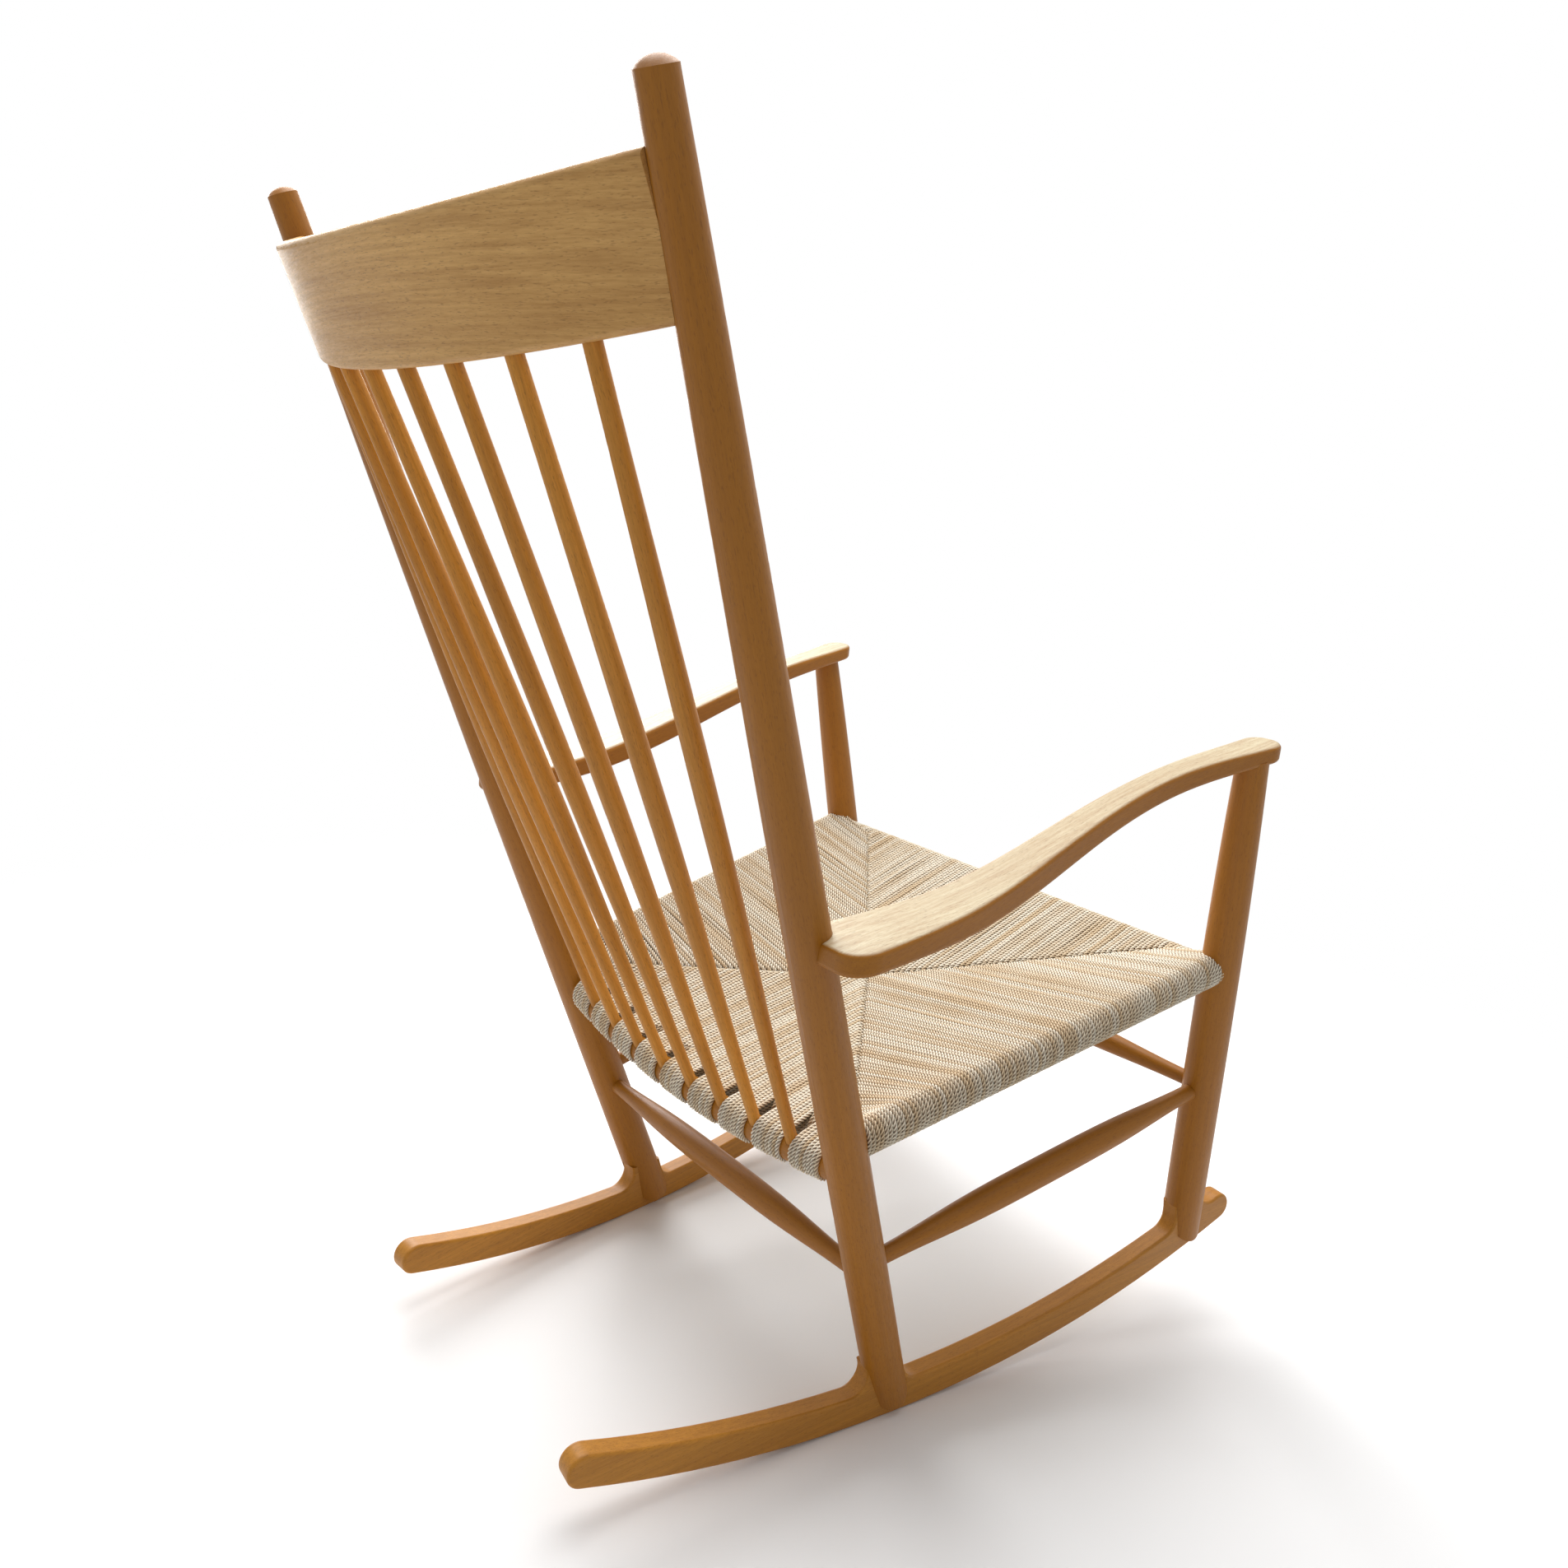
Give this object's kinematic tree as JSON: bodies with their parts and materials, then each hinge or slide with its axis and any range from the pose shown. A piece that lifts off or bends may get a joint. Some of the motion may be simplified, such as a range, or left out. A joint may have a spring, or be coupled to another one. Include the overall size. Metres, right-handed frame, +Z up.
{
  "type": "rocking chair",
  "caption": "High-backed beech rocking chair with turned spindles, a bowed crest rail, shaped open arms, curved rockers and a woven cord seat.",
  "frame": {"origin": "middle of the chair's footprint box, on the floor; the rockers touch the floor along a line a few millimetres behind it", "axes": "+Z up, the sitter faces -Y, +X is the sitter's left; +Z is the longest extent and the chair is symmetric across X"},
  "size_m": [0.65, 0.9416, 1.0713],
  "materials": {
    "beech": "satin",
    "paper_cord": "matte"
  },
  "bodies": {
    "root": {"back_post_left": "beech", "back_post_right": "beech", "front_leg_left": "beech", "front_leg_right": "beech", "rocker_left": "beech", "rocker_right": "beech", "arm_left": "beech", "arm_right": "beech", "stretcher_left": "beech", "stretcher_right": "beech", "seat_rail_left": "beech", "seat_rail_right": "beech", "stretcher_front": "beech", "stretcher_back": "beech", "seat_rail_front": "beech", "seat_rail_back": "beech", "crest_rail": "beech", "spindle_1": "beech", "spindle_2": "beech", "spindle_3": "beech", "spindle_4": "beech", "spindle_5": "beech", "spindle_6": "beech", "spindle_7": "beech", "spindle_8": "beech", "seat_cord": "paper_cord"}
  },
  "joints": []
}
